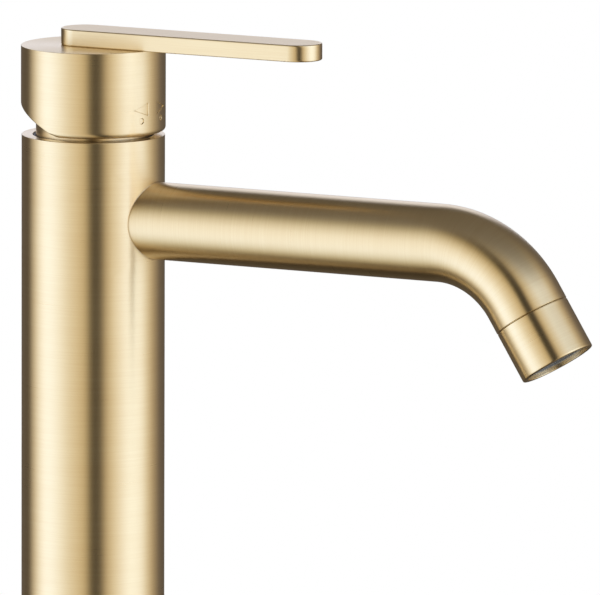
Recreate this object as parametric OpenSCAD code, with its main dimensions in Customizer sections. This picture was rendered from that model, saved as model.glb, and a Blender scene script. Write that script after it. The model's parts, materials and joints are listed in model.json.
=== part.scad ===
// Tall single-lever basin mixer with a round column and a straight round spout.
// Frame: origin at the centre of the deck face under the base ring, +Z up, +X along the spout.

/* [Column] */
// Outer diameter of the column
column_d = 45; // [44:0.5:47]
// Height of the column rim above the deck
column_h = 267; // [220:1:320]
// Wall of the column tube
column_wall = 2.5; // [2.3:0.1:2.6]

/* [Base and deck mounting] */
// Outer diameter of the base ring
base_d = 52; // [50:0.5:60]
// Height of the base ring
base_h = 5; // [4:0.5:8]
// Diameter of the threaded mounting shank
shank_d = 33; // [32:0.5:34]
// Bore of the mounting shank, through which the supply hoses pass
shank_bore_d = 26; // [25.6:0.1:27]
// Length of the shank below the deck face
shank_drop = 60; // [54:1:90]
// Clear gap between the deck face and the rubber washer
deck_gap = 28; // [10:1:32]

/* [Spout] */
// Outer diameter of the spout pipe
spout_d = 24.3; // [23.6:0.1:24.6]
// Wall of the spout pipe
spout_wall = 2; // [1.8:0.1:2.1]
// Depth of the spout axis below the column rim
spout_drop = 26; // [25:0.5:27]
// Distance from the column axis to the start of the bend
spout_straight = 122.4; // [90:0.1:150]
// Centre-line radius of the bend
bend_r = 34.5; // [30:0.5:45]
// Angle that the bend turns through
bend_angle = 57.7; // [40:0.1:80]
// Straight pipe after the bend
tail_l = 5.4; // [5.4:0.1:12]
// Length of the nozzle sleeve
nozzle_l = 17; // [17:0.1:24]

/* [Handle] */
// Diameter of the handle hub
hub_d = 45.4; // [45:0.2:48]
// Height of the handle hub
hub_h = 26.9; // [26:0.1:30]
// Gap between the column rim and the hub
hub_gap = 1.2; // [1.2:0.1:2]
// Angle of the relief cut under the rear of the hub
cut_angle = 24.8; // [24:0.2:27]
// Length of the lever blade
lever_l = 90.5; // [80:0.5:110]
// Width of the lever blade
lever_w = 15; // [14:0.5:17]
// Thickness of the lever blade
lever_t = 5.3; // [5:0.1:7]
// How far the lever blade reaches behind the column axis
lever_rear = 10.5; // [9:0.5:15]
// Depth of the engraved temperature marks
engrave_depth = 0.3; // [0.2:0.05:0.5]

/* [Hidden] */

$fn = 96;
eps = 0.01;

// Finishes
GOLD = [0.80, 0.66, 0.42];
BRASS = [0.72, 0.58, 0.30];
STEEL = [0.66, 0.67, 0.68];
BLACK = [0.10, 0.10, 0.11];
GREY = [0.45, 0.46, 0.47];
WHITE = [0.90, 0.90, 0.88];
CERAMIC = [0.93, 0.91, 0.86];
RED = [0.75, 0.12, 0.10];

// Heights of the column and of what sits at its rim
rim_z = column_h;
bore_r = column_d / 2 - column_wall;
lip_r = 19;
lip_h = 1.8;
rim_chamfer = 0.4;
core_r = bore_r - 0.1;
core_top = rim_z - lip_h - 0.1;

// Handle pivot and the ball that drives the ceramic disc
pivot_z = rim_z + 3;
ball_arm = 13;
ball_z = pivot_z - ball_arm;
ball_r = 3;
pin_r = 1.5;

// Cartridge stack, from the floor of the chamber upwards
floor_z = rim_z - 26;
base_top = floor_z + 5;
fixed_top = base_top + 3.3;
moving_top = fixed_top + 3.2;
carrier_top = ball_z + 1.5;
rotor_bottom = carrier_top + 0.3;
cavity_top = rotor_bottom + 1.6;
shoulder_z = cavity_top + 1.6;
neck_top = shoulder_z + 7;
rotor_top = pivot_z + 2.4;
chamber_r = 17.6;
housing_r = 17.4;
cavity_r = 15.2;
neck_r = 14;
rotor_r = 11.5;
rotor_bore_r = 11.57;
disc_rest_x = -2.8;
disc_r = 11.5;
disc_peg_y = 7.5;

// Pegs under the cartridge base, and the keys that stop the fixed disc from turning
base_peg = [-5, 12];
key_y = 13.4;

// Water ports through the cartridge base and the fixed disc
inlet_port = [2.5, 6.8];
inlet_port_r = 2.4;
outlet_port = [-5.5, 0];
outlet_port_r = 3.2;

// Threaded supply inlets in the underside of the valve body
core_bottom = floor_z - 16;
inlet_y = 8;
inlet_thread_r = 4.5;
inlet_thread_l = 10;

// Passage from the valve body into the spout
spout_z = rim_z - spout_drop;
spout_r = spout_d / 2;
pipe_bore_r = spout_r - spout_wall;
port_z = floor_z - 5.2;
port_r = 4.65;
spigot_r = 4.6;
spigot_bore_r = 3;
union_x = 21;
union_end = 34;
union_groove_x = 16.3;
union_groove_w = 1.3;
lock_screw_x = 15.5;
saddle_r = bore_r + 0.2;

// Retaining nut and its cover
nut_bore_r = 14.2;
nut_thread_r = 18.45;
nut_barrel_r = 16.6;
sleeve_r = 18;
sleeve_top = rim_z + 4.5;

// Mounting hardware
shank_r = shank_d / 2;
shank_top = base_h + 14.4;
thread_pitch = 1.5;
thread_depth = 0.7;
rubber_h = 3;
steel_h = 1.5;
nut_h = 9;
nut_across_corners = 47;
washer_r = 27;
gasket_groove_in = 19.4;
gasket_groove_out = 23.2;
gasket_groove_h = 1.8;

// Nozzle frame: origin on the bend's outlet, local +Z along the flow
bend_x = spout_straight + bend_r * sin(bend_angle);
bend_z = spout_z - bend_r * (1 - cos(bend_angle));
nozzle_x = bend_x + tail_l * cos(bend_angle);
nozzle_z = bend_z - tail_l * sin(bend_angle);
nozzle_r = spout_r - 0.05;
nozzle_gap = 0.15;
seam_chamfer = 0.25;
tail_root = 0.3;
tail_step = 0.02;
aerator_seat = 7;
aerator_r = 10.3;
aerator_lip = 1.2;
insert_r = 8.7;
nozzle_groove_z = -3.6;

// Handle
hub_r = hub_d / 2;
hub_z = rim_z + hub_gap;
hub_top = hub_z + hub_h;
hub_bore_r = 20;
hub_roof = 4;
hub_fillet = 1.5;
boss_r = 8;
boss_bottom = pivot_z + 10;
stem_w = 8;
stem_top = hub_top - hub_roof - 1;
stem_square_bottom = pivot_z - 4;
arm_r = 2.5;
set_screw_z = hub_top - 10;
access_r = 2.6;
lever_screw_x = 13.5;
lever_screw_y = 3.8;
lever_edge = 0.4;

// Engraved temperature marks
mark_z = hub_z + 8.5;
hot_angle = -19.5;
cold_angle = 7;
arrow_w = 5.9;
arrow_h = 4;
pip_z = hub_z + 5;
pip_r = 0.9;

// ---------- shared shapes ----------

// Ring with square edges
module ring(outer, inner, h) {
    difference() {
        cylinder(r = outer, h = h);
        translate([0, 0, -eps])
            cylinder(r = inner, h = h + 2 * eps);
    }
}

// Round section swept once about the Z axis
module o_ring(mid_r, section_r) {
    rotate_extrude()
        translate([mid_r, 0])
            circle(r = section_r, $fn = 32);
}

// Cylinder along +X that starts at x and has its axis at height z
module bar_x(x, z, r, l) {
    translate([x, 0, z])
        rotate([0, 90, 0])
            cylinder(r = r, h = l);
}

// The pair of places mirrored about the XZ plane
module both_sides(x, y, z) {
    for (side = [-1, 1])
        translate([x, side * y, z])
            children();
}

// Children placed at the end of the spout pipe, +Z along the flow
module at_nozzle() {
    translate([nozzle_x, 0, nozzle_z])
        rotate([0, 90 + bend_angle, 0])
            children();
}

// Cross-section of the spout pipe
module pipe_section() {
    difference() {
        circle(r = spout_r);
        circle(r = pipe_bore_r);
    }
}

// ---------- base and mounting ----------

module base_ring() {
    edge = 0.8;
    color(GOLD)
        difference() {
            rotate_extrude()
                polygon([
                    [shank_r + 0.3, 0], [base_d / 2 - 0.3, 0], [base_d / 2, 0.3],
                    [base_d / 2, base_h - edge], [base_d / 2 - edge, base_h], [shank_r + 0.3, base_h]
                ]);
            translate([0, 0, -eps])
                ring(gasket_groove_out, gasket_groove_in, gasket_groove_h + eps);
        }
}

module base_gasket() {
    color(BLACK)
        ring(gasket_groove_out - 0.1, gasket_groove_in + 0.1, gasket_groove_h - 0.1);
}

module column_tube() {
    hole_r = spout_r + 0.1;
    color(GOLD)
        difference() {
            rotate_extrude()
                polygon([
                    [bore_r, base_h], [column_d / 2, base_h],
                    [column_d / 2, rim_z - rim_chamfer], [column_d / 2 - rim_chamfer, rim_z],
                    [lip_r + 0.2, rim_z], [lip_r, rim_z - 0.2],
                    [lip_r, rim_z - lip_h], [bore_r, rim_z - lip_h]
                ]);
            bar_x(1, spout_z, hole_r, column_d);
        }
}

// Bush brazed into the foot of the column: the shank screws into it
module foot_bush() {
    stop_z = shank_top + 0.1;
    color(BRASS)
        rotate_extrude()
            polygon([
                [shank_r + 0.05, base_h], [bore_r - 0.05, base_h], [bore_r - 0.05, stop_z + 2],
                [shank_bore_d / 2 + 0.2, stop_z + 2], [shank_bore_d / 2 + 0.2, stop_z],
                [shank_r + 0.05, stop_z]
            ]);
}

// Hollow threaded stud under the deck; each turn of the thread is one ridge
module mounting_shank() {
    turns = floor((shank_drop - 4) / thread_pitch);
    start = -shank_drop + 2;
    ridges = [
        for (i = [0:turns - 1])
            for (p = [[0.15, 0], [0.6, thread_depth], [0.9, thread_depth], [1.35, 0]])
                [shank_r - p[1], start + i * thread_pitch + p[0]]
    ];
    color(BRASS)
        rotate_extrude()
            polygon(concat(
                [[shank_bore_d / 2, -shank_drop], [shank_r - 1, -shank_drop], [shank_r, -shank_drop + 1]],
                ridges,
                [[shank_r, shank_top], [shank_bore_d / 2, shank_top]]
            ));
}

module rubber_washer() {
    color(BLACK)
        translate([0, 0, -deck_gap - rubber_h])
            ring(washer_r, shank_r + 0.3, rubber_h);
}

module steel_washer() {
    color(STEEL)
        translate([0, 0, -deck_gap - rubber_h - steel_h])
            ring(washer_r, shank_r + 0.4, steel_h);
}

module lock_nut() {
    corner_r = nut_across_corners / 2;
    bevel = 1.2;
    color(BRASS)
        translate([0, 0, -deck_gap - rubber_h - steel_h - nut_h])
            difference() {
                intersection() {
                    cylinder(r = corner_r, h = nut_h, $fn = 6);
                    rotate_extrude()
                        polygon([
                            [0, 0], [corner_r - bevel, 0], [corner_r, bevel],
                            [corner_r, nut_h - bevel], [corner_r - bevel, nut_h], [0, nut_h]
                        ]);
                }
                translate([0, 0, -eps])
                    cylinder(r = shank_r + 0.05, h = nut_h + 2 * eps);
            }
}

// ---------- valve body and spout ----------

module valve_body() {
    lock_hole_r = 2.05;
    color(BRASS)
        difference() {
            translate([0, 0, core_bottom])
                cylinder(r = core_r, h = core_top - core_bottom);
            // cartridge chamber and the nut's thread above it
            translate([0, 0, floor_z])
                cylinder(r = chamber_r, h = core_top - floor_z + 1);
            translate([0, 0, shoulder_z])
                cylinder(r = nut_thread_r + 0.05, h = 10);
            // supply inlets
            both_sides(0, inlet_y, core_bottom - 1)
                cylinder(r = inlet_thread_r, h = inlet_thread_l + 1);
            both_sides(inlet_port[0], inlet_port[1], core_bottom + inlet_thread_l - 1)
                cylinder(r = inlet_port_r, h = 20);
            // outlet well, then the slot that leads forward between the inlets
            translate([outlet_port[0], outlet_port[1], port_z - 2])
                cylinder(r = outlet_port_r, h = 20);
            translate([outlet_port[0], -2.5, port_z - 4.4])
                cube([18.5, 5, 8.6]);
            bar_x(12, port_z, port_r, 20);
            // lock screw and the holes for the cartridge's locating pegs
            translate([lock_screw_x, 0, core_bottom - 1])
                cylinder(r = lock_hole_r, h = port_z - core_bottom);
            both_sides(base_peg[0], base_peg[1], floor_z - 2.3)
                cylinder(r = 1.3, h = 4);
        }
}

// Plug brazed into the pipe's root, with a spigot that seals in the valve body
module spout_union() {
    color(BRASS)
        difference() {
            union() {
                bar_x(union_x + 0.5, spout_z, pipe_bore_r - 0.05, union_end - union_x);
                bar_x(13.5, port_z, spigot_r, union_x - 12.5);
            }
            bar_x(13, port_z, spigot_bore_r, 30);
            bar_x(union_x + 3, spout_z, pipe_bore_r - 2, 30);
            difference() {
                bar_x(union_groove_x, port_z, spigot_r + 1, union_groove_w);
                bar_x(union_groove_x - 1, port_z, spigot_r - 1.1, union_groove_w + 2);
            }
        }
}

module union_o_ring() {
    color(BLACK)
        translate([union_groove_x + union_groove_w / 2, 0, port_z])
            rotate([0, 90, 0])
                o_ring(4.07, 0.53);
}

module spout_lock_screw() {
    screw_h = port_z - spigot_r - 0.1 - core_bottom - 0.4;
    color(STEEL)
        translate([lock_screw_x, 0, core_bottom + 0.4])
            difference() {
                cylinder(r = 2, h = screw_h);
                translate([0, 0, -eps])
                    cylinder(r = 1.15, h = 2.2, $fn = 6);
            }
}

module spout_pipe() {
    color(GOLD)
        union() {
            // straight run, its root cut to the curve of the valve body
            difference() {
                translate([12, 0, spout_z])
                    rotate([0, 90, 0])
                        linear_extrude(height = spout_straight - 12)
                            pipe_section();
                translate([0, 0, spout_z - 30])
                    cylinder(r = saddle_r, h = 60);
            }
            // bend
            translate([spout_straight, 0, spout_z - bend_r])
                rotate([90, 0, 0])
                    rotate([0, 0, 90])
                        rotate_extrude(angle = -bend_angle)
                            translate([bend_r, 0])
                                pipe_section();
            // straight tail: its root sits just inside the wall of the bend, and a fine bevel
            // breaks its edge at the nozzle seam
            at_nozzle()
                rotate_extrude()
                    polygon([
                        [pipe_bore_r + tail_step, -tail_l - tail_root],
                        [spout_r - tail_step, -tail_l - tail_root],
                        [spout_r - tail_step, -seam_chamfer],
                        [spout_r - seam_chamfer, 0], [pipe_bore_r + tail_step, 0]
                    ]);
        }
}

module nozzle_sleeve() {
    spigot = pipe_bore_r - 0.05;
    color(GOLD)
        at_nozzle()
            rotate_extrude()
                polygon([
                    [8, -5.5], [spigot - 0.4, -5.5], [spigot, -5.1],
                    [spigot, nozzle_groove_z - 0.7], [spigot - 1.1, nozzle_groove_z - 0.7],
                    [spigot - 1.1, nozzle_groove_z + 0.7], [spigot, nozzle_groove_z + 0.7],
                    [spigot, nozzle_gap], [nozzle_r - seam_chamfer, nozzle_gap],
                    [nozzle_r, nozzle_gap + seam_chamfer],
                    [nozzle_r, nozzle_l - 0.3], [nozzle_r - 0.3, nozzle_l],
                    [aerator_r + 0.3, nozzle_l], [aerator_r + 0.1, nozzle_l - 0.2],
                    [aerator_r + 0.1, aerator_seat], [8, aerator_seat]
                ]);
}

module nozzle_o_ring() {
    color(BLACK)
        at_nozzle()
            translate([0, 0, nozzle_groove_z])
                o_ring(pipe_bore_r - 0.59, 0.54);
}

module aerator_washer() {
    color(BLACK)
        at_nozzle()
            translate([0, 0, aerator_seat])
                ring(aerator_r - 0.1, 7.4, 1.4);
}

// Threaded cup that holds the aerator's inserts, with two coin slots in its rim
module aerator_body() {
    start = aerator_seat + 1.5;
    end = nozzle_l - aerator_lip;
    inner = 8.8;
    color(GREY)
        at_nozzle()
            difference() {
                translate([0, 0, start])
                    cylinder(r = aerator_r, h = end - start);
                translate([0, 0, start - eps])
                    cylinder(r = inner, h = end - start - 2);
                translate([0, 0, start])
                    cylinder(r = inner - 0.6, h = end - start + 1);
                for (a = [0, 90, 180, 270])
                    rotate([0, 0, a + 45])
                        translate([inner + 0.4, -1.2, end - 1])
                            cube([3, 2.4, 2]);
            }
}

module flow_regulator() {
    z = aerator_seat + 1.6;
    color(WHITE)
        at_nozzle()
            translate([0, 0, z])
                difference() {
                    cylinder(r = insert_r, h = 2);
                    for (a = [0:45:315])
                        rotate([0, 0, a])
                            translate([5.4, 0, -1])
                                cylinder(r = 1.1, h = 4);
                }
}

module aerator_screen() {
    z = aerator_seat + 3.7;
    pitch = 2.2;
    color(STEEL)
        at_nozzle()
            translate([0, 0, z])
                difference() {
                    cylinder(r = insert_r, h = 0.5);
                    for (i = [-3:3])
                        for (j = [-3:3])
                            if (norm([i, j]) * pitch < 7.6)
                                translate([i * pitch - 0.6, j * pitch - 0.6, -1])
                                    cube([1.2, 1.2, 3]);
                }
}

// Outlet grid of hexagonal cells
module aerator_honeycomb() {
    z = aerator_seat + 4.4;
    h = nozzle_l - aerator_lip - 2 - z - 0.1;
    pitch = 2.3;
    row = pitch * sqrt(3) / 2;
    color(GREY)
        at_nozzle()
            translate([0, 0, z])
                difference() {
                    union() {
                        cylinder(r = insert_r, h = h);
                        cylinder(r = insert_r - 0.6, h = h + 1.6);
                    }
                    for (j = [-4:4])
                        for (i = [-4:4])
                            let (x = pitch * (i + (abs(j) % 2) / 2), y = row * j)
                                if (norm([x, y]) < 7.1)
                                    translate([x, y, -1])
                                        rotate([0, 0, 30])
                                            cylinder(r = 1.12, h = h + 4, $fn = 6);
                }
}

// ---------- ceramic cartridge ----------

// Vertical cuts for the two inlet ports and the outlet port
module ports(z, h, grow) {
    both_sides(inlet_port[0], inlet_port[1], z)
        cylinder(r = inlet_port_r + grow, h = h);
    translate([outlet_port[0], outlet_port[1], z])
        cylinder(r = outlet_port_r + grow, h = h);
}

// Ring-shaped cuts around the ports for the seals
module seal_grooves(z, h, gap, width) {
    difference() {
        ports(z, h, gap + width);
        ports(z - 1, h + 2, gap);
    }
}

// O-rings around the three ports
module port_rings(z, offset_r, section_r) {
    both_sides(inlet_port[0], inlet_port[1], z)
        o_ring(inlet_port_r + offset_r, section_r);
    translate([outlet_port[0], outlet_port[1], z])
        o_ring(outlet_port_r + offset_r, section_r);
}

module cartridge_base() {
    color(BLACK)
        difference() {
            union() {
                translate([0, 0, floor_z])
                    cylinder(r = housing_r - 0.1, h = base_top - floor_z);
                translate([0, 0, base_top - eps])
                    ring(cavity_r - 0.1, key_y, 2 + eps);
                both_sides(0, key_y, base_top - eps)
                    cylinder(r = 1.2, h = 2 + eps);
                both_sides(base_peg[0], base_peg[1], floor_z - 2)
                    cylinder(r = 1.2, h = 2 + eps);
            }
            ports(floor_z - 1, 10, 0);
            seal_grooves(floor_z - 1, 2.7, 0.6, 1.7);
            seal_grooves(base_top - 1.2, 1.3, 0.6, 1.2);
        }
}

module port_seals() {
    color(BLACK)
        port_rings(floor_z + 0.84, 1.45, 0.82);
}

module disc_seals() {
    color(BLACK)
        port_rings(base_top - 0.6, 1.2, 0.58);
}

module fixed_disc() {
    color(CERAMIC)
        difference() {
            translate([0, 0, base_top])
                cylinder(r = 13.2, h = fixed_top - base_top);
            ports(base_top - 1, 6, 0);
            both_sides(0, key_y, base_top - 1)
                cylinder(r = 1.4, h = 6);
        }
}

// Upper disc: its underside pocket joins the inlets to the outlet as it slides
module moving_disc() {
    color(WHITE)
        difference() {
            translate([disc_rest_x, 0, fixed_top])
                cylinder(r = disc_r, h = moving_top - fixed_top);
            intersection() {
                translate([disc_rest_x, 0, fixed_top - 1])
                    cylinder(r = disc_r - 2, h = 2.6);
                translate([-30, -20, fixed_top - 1])
                    cube([29.2, 40, 2.6]);
            }
            both_sides(disc_rest_x, disc_peg_y, moving_top - 0.9)
                cylinder(r = 1.1, h = 2);
        }
}

// Slide that the ball pushes; its flat sides run between the rotor's cheeks
module disc_carrier() {
    color(WHITE)
        difference() {
            union() {
                intersection() {
                    translate([disc_rest_x, 0, moving_top])
                        cylinder(r = 11, h = carrier_top - moving_top);
                    translate([-20, -9, moving_top - 1])
                        cube([40, 18, 12]);
                }
                both_sides(disc_rest_x, disc_peg_y, moving_top - 0.8)
                    cylinder(r = 1, h = 1);
            }
            translate([0, 0, moving_top + 0.9])
                cylinder(r = ball_r + 0.35, h = 10);
        }
}

module cartridge_housing() {
    color(WHITE)
        rotate_extrude()
            polygon([
                [cavity_r, base_top], [housing_r, base_top], [housing_r, shoulder_z],
                [neck_r, shoulder_z], [neck_r, neck_top - 0.4], [neck_r - 0.4, neck_top],
                [rotor_bore_r, neck_top], [rotor_bore_r, cavity_top], [cavity_r, cavity_top]
            ]);
}

// Turning guide for the stem, with a slot wide enough for its whole swing
module rotor() {
    slot_w = stem_w + 0.3;
    color(BLACK)
        difference() {
            union() {
                translate([0, 0, rotor_bottom])
                    cylinder(r = rotor_r, h = rotor_top - rotor_bottom);
                translate([0, 0, rotor_bottom])
                    cylinder(r = neck_r, h = 1.4);
                intersection() {
                    both_sides(0, 10.6, moving_top + 1)
                        translate([-7, -1.4, 0])
                            cube([14, 2.8, rotor_bottom - moving_top - 1 + eps]);
                    translate([0, 0, moving_top])
                        cylinder(r = neck_r, h = 20);
                }
            }
            translate([0, slot_w / 2, 0])
                rotate([90, 0, 0])
                    linear_extrude(height = slot_w)
                        polygon([
                            [-6.4, rotor_top + 1], [-4.7, pivot_z - 0.5], [-4.4, stem_square_bottom],
                            [-3.2, rotor_bottom - 1], [8.9, rotor_bottom - 1],
                            [6.7, stem_square_bottom], [4.7, pivot_z + 0.5], [4.4, rotor_top + 1]
                        ]);
            translate([0, 20, pivot_z])
                rotate([90, 0, 0])
                    cylinder(r = pin_r, h = 40);
        }
}

module pivot_pin() {
    color(STEEL)
        translate([0, 11.2, pivot_z])
            rotate([90, 0, 0])
                cylinder(r = pin_r, h = 22.4);
}

module limit_ring() {
    color(RED)
        translate([0, 0, neck_top + 0.1])
            difference() {
                ring(13.8, rotor_r, 1);
                for (a = [0:20:340])
                    rotate([0, 0, a])
                        translate([13.2, -0.5, -1])
                            cube([2, 1, 3]);
            }
}

module retaining_nut() {
    barrel_z = core_top;
    nut_top = rim_z + 2.5;
    notch_w = 3;
    color(BRASS)
        difference() {
            rotate_extrude()
                polygon([
                    [nut_bore_r, shoulder_z], [nut_thread_r, shoulder_z], [nut_thread_r, barrel_z],
                    [nut_barrel_r, barrel_z], [nut_barrel_r, nut_top], [nut_bore_r, nut_top]
                ]);
            for (a = [45, 135, 225, 315])
                rotate([0, 0, a])
                    translate([nut_bore_r - 1, -notch_w / 2, nut_top - 2])
                        cube([5, notch_w, 3]);
        }
}

// Cover over the retaining nut, seen in the gap under the hub
module trim_sleeve() {
    color(GOLD)
        rotate_extrude()
            polygon([
                [sleeve_r - 1.2, core_top], [sleeve_r, core_top],
                [sleeve_r, sleeve_top - 0.5], [sleeve_r - 0.5, sleeve_top],
                [14.4, sleeve_top], [14.4, sleeve_top - 1.2], [sleeve_r - 1.2, sleeve_top - 1.2]
            ]);
}

module glide_ring() {
    top = rim_z - 0.2;
    color(BLACK)
        rotate_extrude()
            polygon([
                [sleeve_r + 0.05, core_top], [lip_r - 0.05, core_top],
                [lip_r - 0.05, top - 0.3], [lip_r - 0.35, top],
                [sleeve_r + 0.35, top], [sleeve_r + 0.05, top - 0.3]
            ]);
}

// ---------- handle ----------

module stem() {
    color(STEEL)
        difference() {
            union() {
                translate([-stem_w / 2, -stem_w / 2, stem_square_bottom])
                    cube([stem_w, stem_w, stem_top - stem_square_bottom]);
                translate([0, 0, ball_z])
                    cylinder(r = arm_r, h = stem_square_bottom - ball_z + 1);
                translate([0, 0, ball_z])
                    sphere(r = ball_r);
            }
            translate([0, 20, pivot_z])
                rotate([90, 0, 0])
                    cylinder(r = pin_r + 0.03, h = 40);
        }
}

// One engraved arrow head, pointing away from the spout's side
module arrow_cut(angle, way) {
    half = arrow_w / 2;
    rotate([0, 0, angle])
        translate([hub_r - 2, 0, mark_z])
            rotate([90, 0, 90])
                linear_extrude(height = 4)
                    polygon([[way * half, 0], [-way * half, arrow_h / 2], [-way * half, -arrow_h / 2]]);
}

// Engraved round pip under an arrow: filled for hot, a ring for cold
module pip_cut(angle, hollow) {
    rotate([0, 0, angle])
        translate([hub_r - 2, 0, pip_z])
            rotate([0, 90, 0])
                difference() {
                    cylinder(r = pip_r, h = 4, $fn = 32);
                    if (hollow)
                        translate([0, 0, -1])
                            cylinder(r = pip_r - 0.4, h = 6, $fn = 32);
                }
}

module temperature_marks() {
    difference() {
        union() {
            arrow_cut(hot_angle, -1);
            arrow_cut(cold_angle, 1);
            pip_cut(hot_angle, false);
            pip_cut(cold_angle, true);
        }
        translate([0, 0, hub_z])
            cylinder(r = hub_r - engrave_depth, h = hub_h);
    }
}

module handle_hub() {
    steps = 8;
    fillet = [
        for (i = [0:steps])
            [hub_r - hub_fillet + hub_fillet * sin(90 * i / steps),
             hub_z + hub_fillet - hub_fillet * cos(90 * i / steps)]
    ];
    color(GOLD)
        difference() {
            union() {
                difference() {
                    rotate_extrude()
                        polygon(concat(
                            [[0, hub_z]],
                            fillet,
                            [[hub_r, hub_top - 0.3], [hub_r - 0.3, hub_top], [0, hub_top]]
                        ));
                    translate([0, 0, hub_z - 1])
                        cylinder(r = hub_bore_r, h = hub_h - hub_roof + 1);
                }
                translate([0, 0, boss_bottom])
                    cylinder(r = boss_r, h = hub_top - hub_roof - boss_bottom + eps);
            }
            // socket for the stem
            translate([-stem_w / 2 - 0.03, -stem_w / 2 - 0.03, boss_bottom - 1])
                cube([stem_w + 0.06, stem_w + 0.06, stem_top - boss_bottom + 1.2]);
            // relief that lets the rear of the hub swing down when the lever is lifted
            translate([-1, 0, hub_z])
                rotate([0, cut_angle, 0])
                    translate([-60, -40, -60])
                        cube([60, 80, 60]);
            // set screw thread in the boss and its access hole in the rear wall
            bar_x(-boss_r - 1, set_screw_z, 2.05, boss_r);
            bar_x(-hub_r - 1, set_screw_z, access_r, 5);
            // screws that hold the lever blade
            both_sides(lever_screw_x, lever_screw_y, hub_top - hub_roof - 1)
                cylinder(r = 1.6, h = hub_roof + 2);
            temperature_marks();
        }
}

// Flat blade with round ends and a fine bevel along its edges
module lever_blade() {
    r = lever_w / 2;
    rear = -lever_rear + r;
    front = lever_l - lever_rear - r;
    b = lever_edge;
    color(GOLD)
        difference() {
            translate([0, 0, hub_top])
                union() {
                    for (x = [rear, front])
                        translate([x, 0, 0])
                            rotate_extrude()
                                polygon([
                                    [0, 0], [r - b, 0], [r, b],
                                    [r, lever_t - b], [r - b, lever_t], [0, lever_t]
                                ]);
                    translate([rear, 0, 0])
                        rotate([90, 0, 90])
                            linear_extrude(height = front - rear)
                                polygon([
                                    [-r + b, 0], [r - b, 0], [r, b], [r, lever_t - b],
                                    [r - b, lever_t], [-r + b, lever_t], [-r, lever_t - b], [-r, b]
                                ]);
                }
            both_sides(lever_screw_x, lever_screw_y, hub_top - 1)
                cylinder(r = 1.5, h = 4.5);
        }
}

module lever_screws() {
    head_h = 1.8;
    seat = hub_top - hub_roof;
    color(STEEL)
        both_sides(lever_screw_x, lever_screw_y, seat)
            difference() {
                union() {
                    translate([0, 0, -head_h])
                        cylinder(r = 2.7, h = head_h);
                    cylinder(r = 1.45, h = hub_roof + 3.2);
                }
                translate([0, 0, -head_h - 1])
                    cylinder(r = 1.1, h = 2, $fn = 6);
            }
}

module set_screw() {
    color(STEEL)
        difference() {
            bar_x(-9.5, set_screw_z, 2, 5.45);
            translate([-10, 0, set_screw_z])
                rotate([0, 90, 0])
                    cylinder(r = 1.15, h = 2.5, $fn = 6);
        }
}

module screw_cap() {
    color(GOLD)
        intersection() {
            bar_x(-hub_r - 1, set_screw_z, access_r - 0.05, 3.4);
            translate([0, 0, set_screw_z - 5])
                cylinder(r = hub_r - 0.05, h = 10);
        }
}

base_ring();
base_gasket();
column_tube();
foot_bush();
mounting_shank();
rubber_washer();
steel_washer();
lock_nut();
valve_body();
spout_union();
union_o_ring();
spout_lock_screw();
spout_pipe();
nozzle_sleeve();
nozzle_o_ring();
aerator_washer();
aerator_body();
flow_regulator();
aerator_screen();
aerator_honeycomb();
cartridge_base();
port_seals();
disc_seals();
fixed_disc();
cartridge_housing();
retaining_nut();
trim_sleeve();
glide_ring();
rotor();
pivot_pin();
limit_ring();
moving_disc();
disc_carrier();
stem();
handle_hub();
lever_blade();
lever_screws();
set_screw();
screw_cap();
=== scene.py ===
"""Looks of a tall single-lever basin mixer in brushed gold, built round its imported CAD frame.

Lengths are in metres, in the frame of the CAD model: the origin is the centre of the deck face,
+Z runs up the column and +X runs along the spout.
"""

import json
import logging
import math
from dataclasses import dataclass
from enum import Enum
from typing import Any, Optional, Sequence, Union

import bmesh
import bpy
import numpy as np
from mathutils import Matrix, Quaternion, Vector


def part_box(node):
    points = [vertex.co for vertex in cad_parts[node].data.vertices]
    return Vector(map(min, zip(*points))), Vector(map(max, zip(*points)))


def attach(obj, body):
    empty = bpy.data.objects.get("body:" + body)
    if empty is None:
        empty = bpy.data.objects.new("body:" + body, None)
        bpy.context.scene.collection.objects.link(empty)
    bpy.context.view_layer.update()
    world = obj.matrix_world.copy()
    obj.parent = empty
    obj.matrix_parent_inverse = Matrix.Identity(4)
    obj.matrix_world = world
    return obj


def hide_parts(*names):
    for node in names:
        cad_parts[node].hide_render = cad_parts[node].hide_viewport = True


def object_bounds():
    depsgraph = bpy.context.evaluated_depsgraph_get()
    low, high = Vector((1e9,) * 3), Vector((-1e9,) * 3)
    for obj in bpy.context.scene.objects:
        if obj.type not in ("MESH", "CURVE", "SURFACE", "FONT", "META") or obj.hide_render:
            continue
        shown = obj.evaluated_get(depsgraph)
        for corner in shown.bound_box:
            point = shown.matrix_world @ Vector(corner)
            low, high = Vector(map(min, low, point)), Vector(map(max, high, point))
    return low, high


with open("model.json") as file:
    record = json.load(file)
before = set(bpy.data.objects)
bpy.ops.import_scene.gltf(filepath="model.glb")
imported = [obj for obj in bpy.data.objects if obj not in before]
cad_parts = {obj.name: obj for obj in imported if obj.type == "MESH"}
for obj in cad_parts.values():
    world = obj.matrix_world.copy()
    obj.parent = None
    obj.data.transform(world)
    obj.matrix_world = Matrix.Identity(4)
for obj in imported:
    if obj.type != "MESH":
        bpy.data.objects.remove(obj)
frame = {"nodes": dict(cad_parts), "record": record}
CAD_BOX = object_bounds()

Array = np.ndarray
Colour = tuple[float, float, float]
Corner = tuple[float, float, float]  # two coordinates and the radius of its arc

LOG = logging.getLogger("mixer")
TURN = 2 * math.pi
DEGREE = TURN / 360
WELD = 2e-6  # points closer than this become one
SHARP = math.radians(34)  # edges that turn by more than this stay crisp
FIT = 0.00005  # gap between pieces that are screwed or pushed together
BRUSH = "brush"  # corner attribute: across the brushing, then two coordinates along it
SURFACE_UV = "surface"


# ---------- shader maths ----------


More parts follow.
